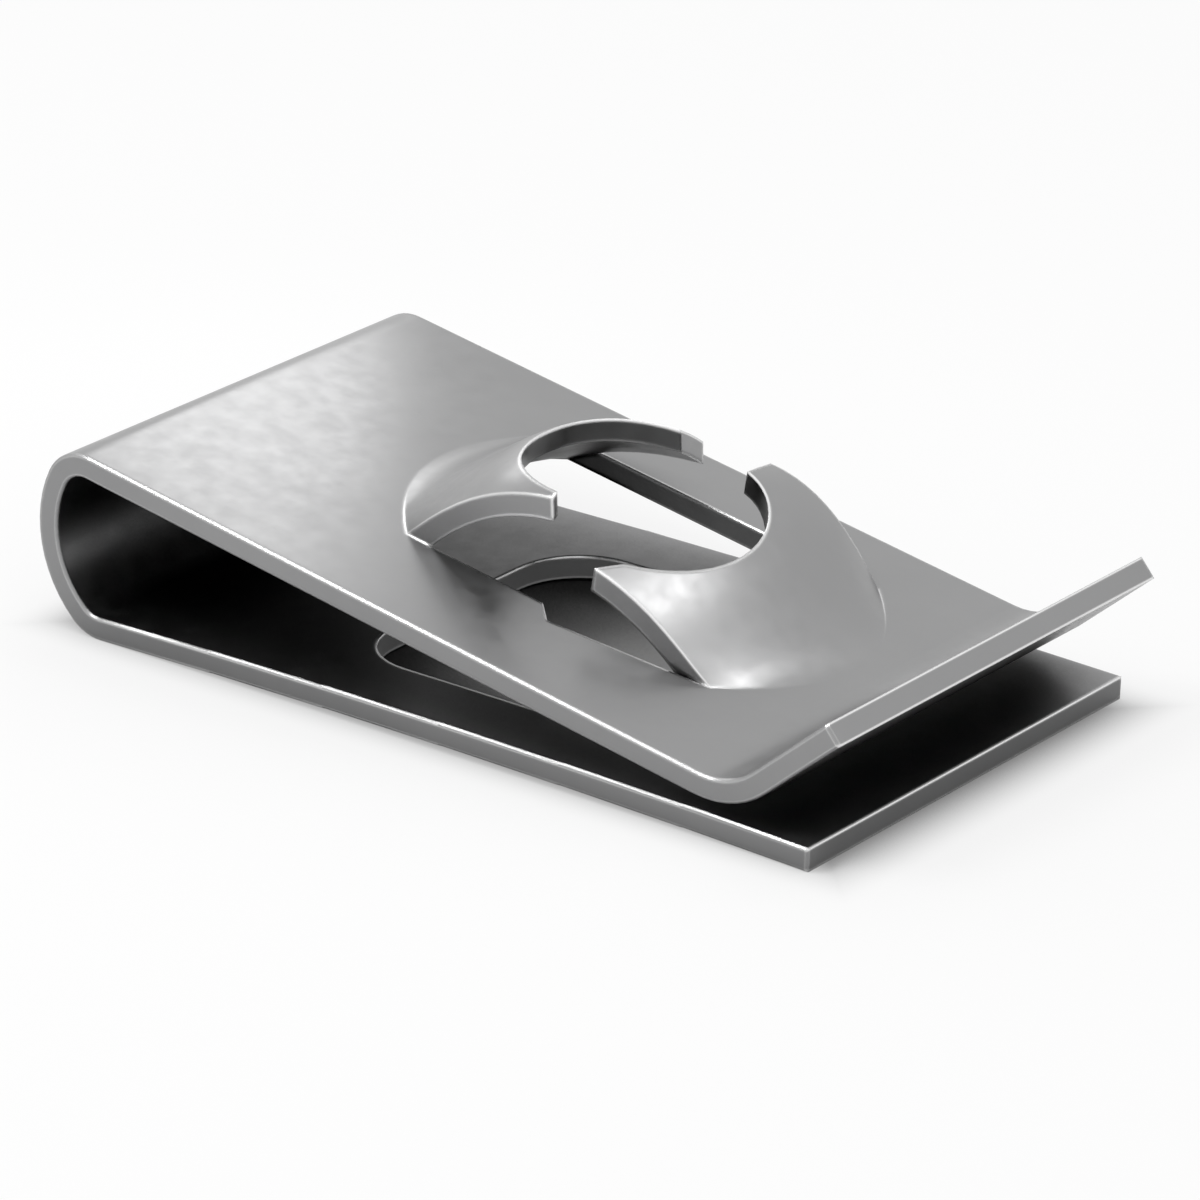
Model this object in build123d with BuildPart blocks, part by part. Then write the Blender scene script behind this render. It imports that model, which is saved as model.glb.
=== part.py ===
from build123d import *
from math import acos, atan, cos, degrees, radians, sin, tan
import os

# Folded spring-steel clip nut: one strip bent into a U, its upper leaf pierced and
# formed into two arched prongs whose notched ends make one turn of a screw thread.

# Strip
strip_width = 12.7
sheet = 0.6
edge_break = 0.07  # rounding of the strip's side edges

# Side profile, outside faces, measured from the back of the fold
lower_reach = 23.65  # back of the fold to the free end of the lower leaf
lower_bow = 0.15  # rise of the lower leaf at its middle
back_radius = 3.14  # outside radius of the fold's back
back_height = 2.65  # height of that radius's centre
corner_radius = 1.27  # outside radius where the back turns into each leaf
upper_slope = 9.6  # degrees, the upper leaf falls towards the mouth
mouth_gap = 0.4  # under the lip bend, above the lower leaf's free end
lip_reach = 20.8  # back of the fold to the lip bend's centre
lip_radius = 1.9  # inside radius of the lip bend
lip_angle = 40.3  # degrees, the lip rises from level
lip_length = 2.75  # straight part of the lip

# Clearance window in the lower leaf
window_length = 10.5
window_width = 8.6
window_corner = 1.85
window_reach = 13.4  # back of the fold to the window's middle

# Thread impression in the upper leaf
thread_radius = 3.05  # the circle that both notches follow
thread_reach = 13.44  # back of the fold to the screw's axis, at the leaf's top face
thread_offset = 0.26  # the axis stands this far to the far side of the strip's middle
near_width = 3.24  # from the axis to the prongs' near side edges
far_width = 3.96  # from the axis to the prongs' far side edges
mouth_flare = 60  # degrees towards the near side where the mouth prong's notch starts to flare
root_margin = 0.3  # flat leaf kept in the formed band beyond the longest root

# Prong sections at the near edge, the axis and the far edge: distance of the root from the
# axis, rise of the sheet at the root in degrees, distance of the tip from the axis, height
# of the tip over the leaf, lean of the sheet at the tip in degrees
fold_near = (4.48, 50, 0.37, 2.79, 12)
fold_middle = (6.52, 0, 0.87, 3.26, 7)
fold_far = (5.35, 35, 1.2, 1.61, 10)
mouth_near = (4.89, 27, 1.12, 1.54, 7)
mouth_middle = (6.61, 0, 1.03, 2.08, 3.4)
mouth_far = (4.53, 45.6, 0.86, 1.89, -2.5)
root_pull, tip_pull = 0.25, 0.45  # how stiffly the curve leaves the root and meets the tip

# Relief along the near slit: a slanted step away from the prong, tapering back to the slit
relief_start = -0.2  # from the axis, along the leaf
relief_step = 0.6
relief_length = 5.1
relief_depth = 0.58

# The whole length sets the frame: the origin lies under the middle, on the resting plane
whole_length = (
    lip_reach
    + (lip_radius + sheet) * sin(radians(lip_angle))
    + lip_length * cos(radians(lip_angle))
)
back_x = -whole_length / 2

# The upper leaf's top face is the line at leaf_offset along leaf_normal
leaf_along = Vector(cos(radians(upper_slope)), 0, -sin(radians(upper_slope)))
leaf_normal = Vector(sin(radians(upper_slope)), 0, cos(radians(upper_slope)))
lip_centre = Vector(back_x + lip_reach, 0, 2 * sheet + mouth_gap + lip_radius)
leaf_offset = lip_centre.dot(leaf_normal) - lip_radius

# The fold: a corner, the rounded back, and a corner into the upper leaf
back_centre = Vector(back_x + back_radius, 0, back_height)
step = back_radius - corner_radius
toe_turn = degrees(acos((back_height - corner_radius) / step))
top_turn = degrees(acos((leaf_offset - back_centre.dot(leaf_normal) - corner_radius) / step))
back_turn = 180 + upper_slope - toe_turn - top_turn
toe_x = back_centre.X - step * sin(radians(toe_turn))
top_along = back_centre.dot(leaf_along) - step * sin(radians(top_turn))
upper_length = lip_centre.dot(leaf_along) - top_along

# The lower leaf is a shallow arc between its toe and its free end
end_x = back_x + lower_reach
bow_turn = degrees(2 * atan(2 * lower_bow / (end_x - toe_x)))
bow = Vector(cos(radians(bow_turn)), sin(radians(bow_turn)))
toe_start = (toe_x + corner_radius * bow.Y, corner_radius * (1 - bow.X))

# Plane of the upper leaf's top face, with its origin on the screw's axis
axis_x = back_x + thread_reach
axis_z = (leaf_offset - axis_x * leaf_normal.X) / leaf_normal.Z
leaf_plane = Plane((axis_x, thread_offset, axis_z), x_dir=leaf_along, z_dir=leaf_normal)
fold_anchor = fold_middle[0] + root_margin
mouth_anchor = mouth_middle[0] + root_margin


def prong_section(across, toward, anchor, root, root_rise, tip, height, tip_lean):
    """Lengthwise section of a prong's sheet, at this distance across the strip."""
    rise, lean = radians(root_rise), radians(tip_lean)
    reach = ((root - tip) ** 2 + height**2) ** 0.5
    plane = Plane(leaf_plane.from_local_coords((0, across, 0)), x_dir=leaf_along, z_dir=(0, -1, 0))

    def at(away, up):
        return (toward * away, up)

    def curve(start, end):
        pull_x, pull_y = root_pull * reach * cos(rise), root_pull * reach * sin(rise)
        meet_x, meet_y = tip_pull * reach * cos(lean), tip_pull * reach * sin(lean)
        leaving = (start[0] - pull_x, start[1] + pull_y)
        meeting = (end[0] + meet_x, end[1] - meet_y)
        Bezier(at(*start), at(*leaving), at(*meeting), at(*end))

    over_root, over_tip = (root, 0), (tip, height)
    under_root = (root - sheet * tan(rise / 2), -sheet)
    under_tip = (tip - sheet * sin(lean), height - sheet * cos(lean))
    with BuildSketch(plane) as section:
        with BuildLine():
            Line(at(anchor, 0), at(*over_root))
            curve(over_root, over_tip)
            Line(at(*over_tip), at(*under_tip))
            curve(under_root, under_tip)
            Line(at(*under_root), at(anchor, -sheet))
            Line(at(anchor, -sheet), at(anchor, 0))
        make_face()
    return section.sketch.face()


# the prongs as formed, before their notches
with BuildPart() as fold_prong:
    add(prong_section(-near_width, -1, fold_anchor, *fold_near))
    add(prong_section(0, -1, fold_anchor, *fold_middle))
    add(prong_section(far_width, -1, fold_anchor, *fold_far))
    loft()

with BuildPart() as mouth_prong:
    add(prong_section(-near_width, 1, mouth_anchor, *mouth_near))
    add(prong_section(0, 1, mouth_anchor, *mouth_middle))
    add(prong_section(far_width, 1, mouth_anchor, *mouth_far))
    loft()

with BuildPart() as speed_nut:
    # the bent strip
    with BuildSketch(Plane.XZ) as profile:
        with BuildLine():
            TangentArc((end_x, 0), toe_start, tangent=(bow.X, bow.Y), tangent_from_first=False)
            toe = JernArc(toe_start, (-bow.X, -bow.Y), corner_radius, -toe_turn - bow_turn)
            back = JernArc(toe @ 1, toe % 1, back_radius, -back_turn)
            top = JernArc(back @ 1, back % 1, corner_radius, -top_turn)
            upper = Line(top @ 1, (top @ 1) + (top % 1) * upper_length)
            bend = JernArc(upper @ 1, upper % 1, lip_radius, upper_slope + lip_angle)
            Line(bend @ 1, (bend @ 1) + (bend % 1) * lip_length)
            offset(amount=sheet, side=Side.RIGHT)
        make_face()
    extrude(amount=strip_width / 2, both=True)
    fillet(speed_nut.faces().sort_by(Axis.Y)[0].edges(), edge_break)
    fillet(speed_nut.faces().sort_by(Axis.Y)[-1].edges(), edge_break)

    # the clearance window in the lower leaf
    with BuildSketch(Plane.XY):
        with Locations((back_x + window_reach, 0)):
            RectangleRounded(window_length, window_width, window_corner)
    extrude(amount=sheet + lower_bow + mouth_gap / 3, mode=Mode.SUBTRACT)

    # the upper leaf opened for the impression, with a relief beside each slit
    with BuildSketch(leaf_plane.offset(sheet)):
        with Locations(((mouth_anchor - fold_anchor) / 2, (far_width - near_width) / 2)):
            Rectangle(mouth_anchor + fold_anchor, far_width + near_width)
        with BuildLine():
            Polyline(
                (relief_start, 0),
                (relief_start, -near_width),
                (relief_start + relief_step, -near_width - relief_depth),
                (relief_start + relief_length, -near_width),
                (relief_start + relief_length, 0),
                close=True,
            )
        make_face()
    extrude(amount=-2 * sheet - mouth_gap / 3, mode=Mode.SUBTRACT)

    # the two arched prongs
    add(fold_prong.part)
    add(mouth_prong.part)

    # the notches that bear on the screw, the mouth prong's flared out to its near side edge
    with BuildSketch(leaf_plane.offset(-sheet)):
        Circle(thread_radius)
        with BuildLine():
            Polyline(
                (0, 0),
                (0, -near_width),
                (mouth_near[2], -near_width),
                (thread_radius * cos(radians(mouth_flare)), -thread_radius * sin(radians(mouth_flare))),
                close=True,
            )
        make_face()
    extrude(amount=3 * thread_radius, mode=Mode.SUBTRACT)

speed_nut.part.label = "speed_nut"
os.makedirs("parts", exist_ok=True)
export_step(speed_nut.part, "parts/speed_nut.step")
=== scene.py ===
import bpy
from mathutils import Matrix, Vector


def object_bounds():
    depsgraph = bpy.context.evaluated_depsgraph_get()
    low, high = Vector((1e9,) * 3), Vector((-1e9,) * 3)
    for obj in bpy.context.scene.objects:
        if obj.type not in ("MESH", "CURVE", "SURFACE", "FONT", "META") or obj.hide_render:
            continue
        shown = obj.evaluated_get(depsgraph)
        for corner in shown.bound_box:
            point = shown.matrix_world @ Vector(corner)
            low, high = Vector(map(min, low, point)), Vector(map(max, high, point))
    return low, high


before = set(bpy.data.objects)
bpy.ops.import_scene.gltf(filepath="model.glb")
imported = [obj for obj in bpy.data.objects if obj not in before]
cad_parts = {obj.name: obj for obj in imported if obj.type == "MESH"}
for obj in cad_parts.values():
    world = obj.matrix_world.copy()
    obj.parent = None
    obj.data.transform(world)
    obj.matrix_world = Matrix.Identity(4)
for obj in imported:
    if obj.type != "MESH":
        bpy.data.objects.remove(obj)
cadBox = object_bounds()
scene = bpy.context.scene


def addNode(tree, kind, place=(0, 0), **settings):
    # settings are node properties; sockets are set through setInputs
    node = tree.nodes.new(kind)
    node.location = place
    for key, value in settings.items():
        setattr(node, key, value)
    return node


def setInputs(node, **values):
    for key, value in values.items():
        node.inputs[key.replace("_", " ")].default_value = value
    return node


def largest(tree, sockets):
    # the greatest of several values
    top = sockets[0]
    for socket in sockets[1:]:
        node = addNode(tree, "ShaderNodeMath", (-200, 400), operation="MAXIMUM")
        tree.links.new(top, node.inputs[0])
        tree.links.new(socket, node.inputs[1])
        top = node.outputs[0]
    return top


# Camera: level horizon, looking down on the near edge and the mouth
viewpoint = dict(
    place=(0.092726, -0.116844, 0.064209),
    look=(-0.5719, 0.7235, -0.3865),
    lens=199.27,
    sensor=36.0,
    clip=(0.002, 50),
)


def makeCamera(v):
    data = bpy.data.cameras.new("camera")
    data.lens = v["lens"]
    data.sensor_width = v["sensor"]
    data.clip_start, data.clip_end = v["clip"]
    camera = bpy.data.objects.new("camera", data)
    camera.location = v["place"]
    camera.rotation_euler = Vector(v["look"]).to_track_quat("-Z", "Y").to_euler()
    scene.collection.objects.link(camera)
    scene.camera = camera


makeCamera(viewpoint)
print("camera placed")


# Faint uneven clouds, pin specks and fine grain of bare spring steel
def makeMillSkin():
    group = bpy.data.node_groups.new("millSkin", "ShaderNodeTree")
    inside = addNode(group, "NodeGroupInput", (-700, 0))
    outside = addNode(group, "NodeGroupOutput", (500, 0))
    where = addNode(group, "ShaderNodeTexCoord", (-900, 200))
    layers = (("Clouds", 4.0, 0.55), ("Specks", 2.0, 0.5), ("Grain", 3.0, 0.6))
    for row, (name, detail, roughness) in enumerate(layers):
        size = name + " Size"
        group.interface.new_socket(size, in_out="INPUT", socket_type="NodeSocketFloat")
        group.interface.new_socket(name, in_out="OUTPUT", socket_type="NodeSocketFloat")
        noise = addNode(group, "ShaderNodeTexNoise", (-400, 250 - 250 * row))
        setInputs(noise, Detail=detail, Roughness=roughness)
        group.links.new(where.outputs["Object"], noise.inputs["Vector"])
        group.links.new(inside.outputs[size], noise.inputs["Scale"])
        group.links.new(noise.outputs["Fac"], outside.inputs[name])
    return group


millSkin = makeMillSkin()

# Bare spring steel, satin from the rolls
steel = dict(
    base=(0.272, 0.272, 0.274),
    pale=(0.312, 0.312, 0.314),
    roughLow=0.28,
    roughHigh=0.36,
    speckRange=(0.3, 0.7),
    cloudsSize=260.0,
    specksSize=1900.0,
    grainSize=9000.0,
    grainHeight=0.0000012,
    grainStrength=0.15,
    rimRound=0.00015,  # how far the sheared rims are rolled over
    rimHighlightTint=(0.80, 0.80, 0.80),  # paler colour along the rims, a painted highlight
    rimRough=0.22,
    rimTurn=(0.996, 0.93),  # rim mask from a slight turn of the surface to a full one; it drives the painted highlight and the smoother rims
    recessShadeReach=0.008,  # painted shade: colour darkened where the sheet faces itself this close
    recessShadeOpen=(0.1, 0.8),
    recessShade=0.03,
    samples=8,
)


def roundedRimsAndHighlight(tree, s):
    # the rounded normal of the rims, and how far each place is a rim
    rims = addNode(tree, "ShaderNodeBevel", (-1100, -450), samples=s["samples"])
    setInputs(rims, Radius=s["rimRound"])
    faces = addNode(tree, "ShaderNodeNewGeometry", (-1100, -650))
    turned = addNode(tree, "ShaderNodeVectorMath", (-900, -500), operation="DOT_PRODUCT")
    tree.links.new(rims.outputs["Normal"], turned.inputs[0])
    tree.links.new(faces.outputs["Normal"], turned.inputs[1])
    rimHighlight = addNode(tree, "ShaderNodeMapRange", (-700, -500), interpolation_type="SMOOTHSTEP")
    setInputs(rimHighlight, From_Min=s["rimTurn"][0], From_Max=s["rimTurn"][1])
    tree.links.new(turned.outputs["Value"], rimHighlight.inputs["Value"])
    return rims.outputs["Normal"], rimHighlight.outputs["Result"]


def paintedRecessShade(tree, s):
    # painted shade: colour darkened inside the fold and under the prongs, clear on open faces
    recess = addNode(tree, "ShaderNodeAmbientOcclusion", (-900, 500))
    recess.samples = s["samples"]
    recess.only_local = True
    setInputs(recess, Distance=s["recessShadeReach"])
    shadeRamp = addNode(tree, "ShaderNodeMapRange", (-600, 500), interpolation_type="SMOOTHSTEP")
    setInputs(shadeRamp, From_Min=s["recessShadeOpen"][0], From_Max=s["recessShadeOpen"][1])
    setInputs(shadeRamp, To_Min=s["recessShade"])
    tree.links.new(recess.outputs["AO"], shadeRamp.inputs["Value"])
    return shadeRamp.outputs["Result"]


def makeSteel(s):
    material = bpy.data.materials.new("springSteel")
    material.use_nodes = True
    tree = material.node_tree
    shader = tree.nodes["Principled BSDF"]
    setInputs(shader, Metallic=1.0)
    skin = addNode(tree, "ShaderNodeGroup", (-900, 0))
    skin.node_tree = millSkin
    setInputs(skin, Clouds_Size=s["cloudsSize"], Specks_Size=s["specksSize"])
    setInputs(skin, Grain_Size=s["grainSize"])
    rimNormal, rimMask = roundedRimsAndHighlight(tree, s)

    tint = addNode(tree, "ShaderNodeMix", (-400, 200), data_type="RGBA")
    tint.inputs["A"].default_value = (*s["base"], 1)
    tint.inputs["B"].default_value = (*s["pale"], 1)
    tree.links.new(skin.outputs["Clouds"], tint.inputs["Factor"])
    # painted highlight: the colour turns paler along the rims
    rimmed = addNode(tree, "ShaderNodeMix", (-250, 250), data_type="RGBA")
    rimmed.inputs["B"].default_value = (*s["rimHighlightTint"], 1)
    tree.links.new(rimMask, rimmed.inputs["Factor"])
    tree.links.new(tint.outputs["Result"], rimmed.inputs["A"])
    # painted shade from the recesses darkens the colour
    shadedColour = addNode(tree, "ShaderNodeMix", (-100, 300), data_type="RGBA", blend_type="MULTIPLY")
    shadedColour.inputs["Factor"].default_value = 1.0
    tree.links.new(rimmed.outputs["Result"], shadedColour.inputs["A"])
    tree.links.new(paintedRecessShade(tree, s), shadedColour.inputs["B"])
    tree.links.new(shadedColour.outputs["Result"], shader.inputs["Base Color"])

    rough = addNode(tree, "ShaderNodeMapRange", (-400, -50))
    setInputs(rough, From_Min=s["speckRange"][0], From_Max=s["speckRange"][1])
    setInputs(rough, To_Min=s["roughLow"], To_Max=s["roughHigh"])
    tree.links.new(skin.outputs["Specks"], rough.inputs["Value"])
    worn = addNode(tree, "ShaderNodeMix", (-200, -50), data_type="FLOAT")
    worn.inputs["B"].default_value = s["rimRough"]
    tree.links.new(rimMask, worn.inputs["Factor"])
    tree.links.new(rough.outputs["Result"], worn.inputs["A"])
    tree.links.new(worn.outputs["Result"], shader.inputs["Roughness"])

    bump = addNode(tree, "ShaderNodeBump", (-400, -300))
    setInputs(bump, Strength=s["grainStrength"], Distance=s["grainHeight"])
    tree.links.new(rimNormal, bump.inputs["Normal"])
    tree.links.new(skin.outputs["Grain"], bump.inputs["Height"])
    tree.links.new(bump.outputs["Normal"], shader.inputs["Normal"])
    return material


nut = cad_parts["speed_nut"]
nut.data.materials.clear()
nut.data.materials.append(makeSteel(steel))
print("steel laid on")

# Pale floor that keeps a soft shadow; distances run out from the clip's outline
floorLook = dict(
    colour=(0.9, 0.9, 0.9),
    roughness=0.9,
    size=4.0,
    shadeReach=0.012,
    samples=8,
    glow=0.85,
    seen=dict(start=-0.0015, end=0.0010, least=0.0),  # white to the eye
    mirrored=dict(start=0.0, end=0.009, least=0.15),  # white to the steel
)


def outFromClip(tree, where):
    across = addNode(tree, "ShaderNodeVectorMath", (-1200, 0), operation="ABSOLUTE")
    out = addNode(tree, "ShaderNodeVectorMath", (-1000, 0), operation="SUBTRACT")
    out.inputs[1].default_value = cadBox[1]
    parts = addNode(tree, "ShaderNodeSeparateXYZ", (-800, 0))
    tree.links.new(where.outputs["Position"], across.inputs[0])
    tree.links.new(across.outputs[0], out.inputs[0])
    tree.links.new(out.outputs[0], parts.inputs[0])
    return largest(tree, [parts.outputs["X"], parts.outputs["Y"]])


def glowShare(tree, flag, away, glow, ramp):
    fade = addNode(tree, "ShaderNodeMapRange", (-400, 200), interpolation_type="SMOOTHSTEP")
    setInputs(fade, From_Min=ramp["start"], From_Max=ramp["end"])
    setInputs(fade, To_Min=ramp["least"], To_Max=glow)
    tree.links.new(away, fade.inputs["Value"])
    share = addNode(tree, "ShaderNodeMath", (-200, 300), operation="MULTIPLY")
    tree.links.new(flag, share.inputs[0])
    tree.links.new(fade.outputs["Result"], share.inputs[1])
    return share.outputs[0]


def makeFloorMaterial(f):
    material = bpy.data.materials.new("paleFloor")
    material.use_nodes = True
    tree = material.node_tree
    shader = tree.nodes["Principled BSDF"]
    setInputs(shader, Roughness=f["roughness"], Specular_IOR_Level=0.0)
    # painted shadow: the floor's colour darkens under and beside the clip
    shade = addNode(tree, "ShaderNodeAmbientOcclusion", (-600, -300), samples=f["samples"])
    setInputs(shade, Color=(*f["colour"], 1), Distance=f["shadeReach"])
    tree.links.new(shade.outputs["Color"], shader.inputs["Base Color"])
    glow = addNode(tree, "ShaderNodeEmission", (0, -300))
    where = addNode(tree, "ShaderNodeNewGeometry", (-1400, 0))
    away = outFromClip(tree, where)
    path = addNode(tree, "ShaderNodeLightPath", (-600, 500))
    shares = [
        glowShare(tree, path.outputs["Is " + ray + " Ray"], away, f["glow"], f[ramp])
        for ray, ramp in (("Camera", "seen"), ("Glossy", "mirrored"), ("Transmission", "seen"))
    ]
    mix = addNode(tree, "ShaderNodeMixShader", (300, 0))
    tree.links.new(largest(tree, shares), mix.inputs["Fac"])
    tree.links.new(shader.outputs[0], mix.inputs[1])
    tree.links.new(glow.outputs[0], mix.inputs[2])
    # from below, the floor is clear
    clear = addNode(tree, "ShaderNodeBsdfTransparent", (300, -200))
    under = addNode(tree, "ShaderNodeMixShader", (500, 0))
    tree.links.new(where.outputs["Backfacing"], under.inputs["Fac"])
    tree.links.new(mix.outputs[0], under.inputs[1])
    tree.links.new(clear.outputs[0], under.inputs[2])
    tree.links.new(under.outputs[0], tree.nodes["Material Output"].inputs["Surface"])
    return material


def makeFloor(f):
    mesh = bpy.data.meshes.new("floor")
    h = f["size"] / 2
    mesh.from_pydata([(-h, -h, 0), (h, -h, 0), (h, h, 0), (-h, h, 0)], [], [(0, 1, 2, 3)])
    mesh.materials.append(makeFloorMaterial(f))
    floor = bpy.data.objects.new("floor", mesh)
    scene.collection.objects.link(floor)


makeFloor(floorLook)
print("floor laid")

# Even studio surround, white to the eye and in reflections
surround = dict(level=0.4, white=1.0)


def makeWorld(w):
    world = bpy.data.worlds.new("studio")
    scene.world = world
    world.use_nodes = True
    tree = world.node_tree
    ambient = tree.nodes["Background"]
    setInputs(ambient, Color=(1, 1, 1, 1), Strength=w["level"])
    white = addNode(tree, "ShaderNodeBackground", (0, -200))
    setInputs(white, Color=(1, 1, 1, 1), Strength=w["white"])
    path = addNode(tree, "ShaderNodeLightPath", (-600, 200))
    rays = [path.outputs["Is " + ray + " Ray"] for ray in ("Camera", "Glossy", "Transmission")]
    mix = addNode(tree, "ShaderNodeMixShader", (300, 0))
    tree.links.new(largest(tree, rays), mix.inputs["Fac"])
    tree.links.new(ambient.outputs[0], mix.inputs[1])
    tree.links.new(white.outputs[0], mix.inputs[2])
    tree.links.new(mix.outputs[0], tree.nodes["World Output"].inputs["Surface"])


makeWorld(surround)

# Soft lamps, each aimed at a spot on the clip
lamps = dict(
    overhead=dict(place=(0.05, 0.05, 0.40), aim=(0, 0, 0.004), size=0.30, power=0.35),
    foldSide=dict(
        place=(-0.0198, 0.0120, 0.0157), aim=(-0.0104, -0.0019, 0.0048), size=0.010, power=0.00046
    ),
    rimSide=dict(place=(-0.061, -0.067, 0.120), aim=(0, 0, 0.003), size=0.064, power=0.10),
    flankSide=dict(place=(0.027, 0.050, 0.112), aim=(0.004, 0, 0.004), size=0.03, power=0.010),
)


def makeLamp(name, l):
    data = bpy.data.lights.new(name, "AREA")
    data.shape = "DISK"
    data.size = l["size"]
    data.energy = l["power"]
    lamp = bpy.data.objects.new(name, data)
    lamp.location = l["place"]
    towards = Vector(l["aim"]) - Vector(l["place"])
    lamp.rotation_euler = towards.to_track_quat("-Z", "Y").to_euler()
    lamp.visible_camera = False
    scene.collection.objects.link(lamp)


for name, lamp in lamps.items():
    makeLamp(name, lamp)
scene.view_settings.view_transform = "Standard"
print("studio lit")
